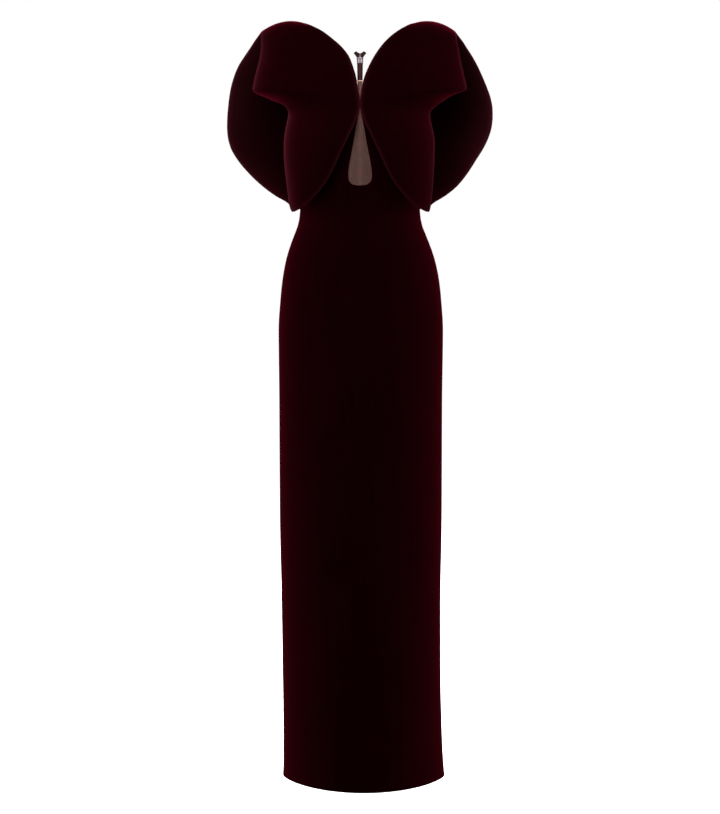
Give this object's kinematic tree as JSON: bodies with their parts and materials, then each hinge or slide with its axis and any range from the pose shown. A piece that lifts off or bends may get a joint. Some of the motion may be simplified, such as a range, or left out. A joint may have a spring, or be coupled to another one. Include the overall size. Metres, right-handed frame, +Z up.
{
  "type": "evening gown",
  "caption": "Floor-length strapless velvet column gown with large sculptural petals over the shoulders, a front keyhole backed with tulle and a zip in a sheer back.",
  "frame": {"origin": "middle of the waist, on the axis of the column, where the wearer holds the gown", "axes": "+Z up towards the neck, the front faces -Y, +X towards the wearer's left"},
  "size_m": [0.5485, 0.2682, 1.569],
  "materials": {
    "velvet": "very dark burgundy velvet with a short upright pile",
    "nude_mesh": "sheer nude tulle",
    "zip_tape": "woven plum zip tape",
    "zip_metal": "pale lilac enamel on the zip metal"
  },
  "bodies": {
    "gown": {"front_panel": "velvet", "back_panel_left": "velvet", "back_panel_right": "velvet", "tulle_front": "nude_mesh", "tulle_back_left": "nude_mesh", "tulle_back_right": "nude_mesh", "zip_tape_left": "zip_tape", "zip_tape_right": "zip_tape", "petal_front_left": "velvet", "petal_front_right": "velvet", "petal_back_left": "velvet", "petal_back_right": "velvet", "zip_slider": "zip_metal"},
    "pull_tab": {"zip_pull": "zip_metal"}
  },
  "joints": [
    {"name": "pull_hinge", "type": "hinge", "parent": "gown", "child": "pull_tab", "pos_m": [0, 0.07641, 0.32506], "axis": [1, 0, 0], "range_deg": [0, 165]}
  ]
}
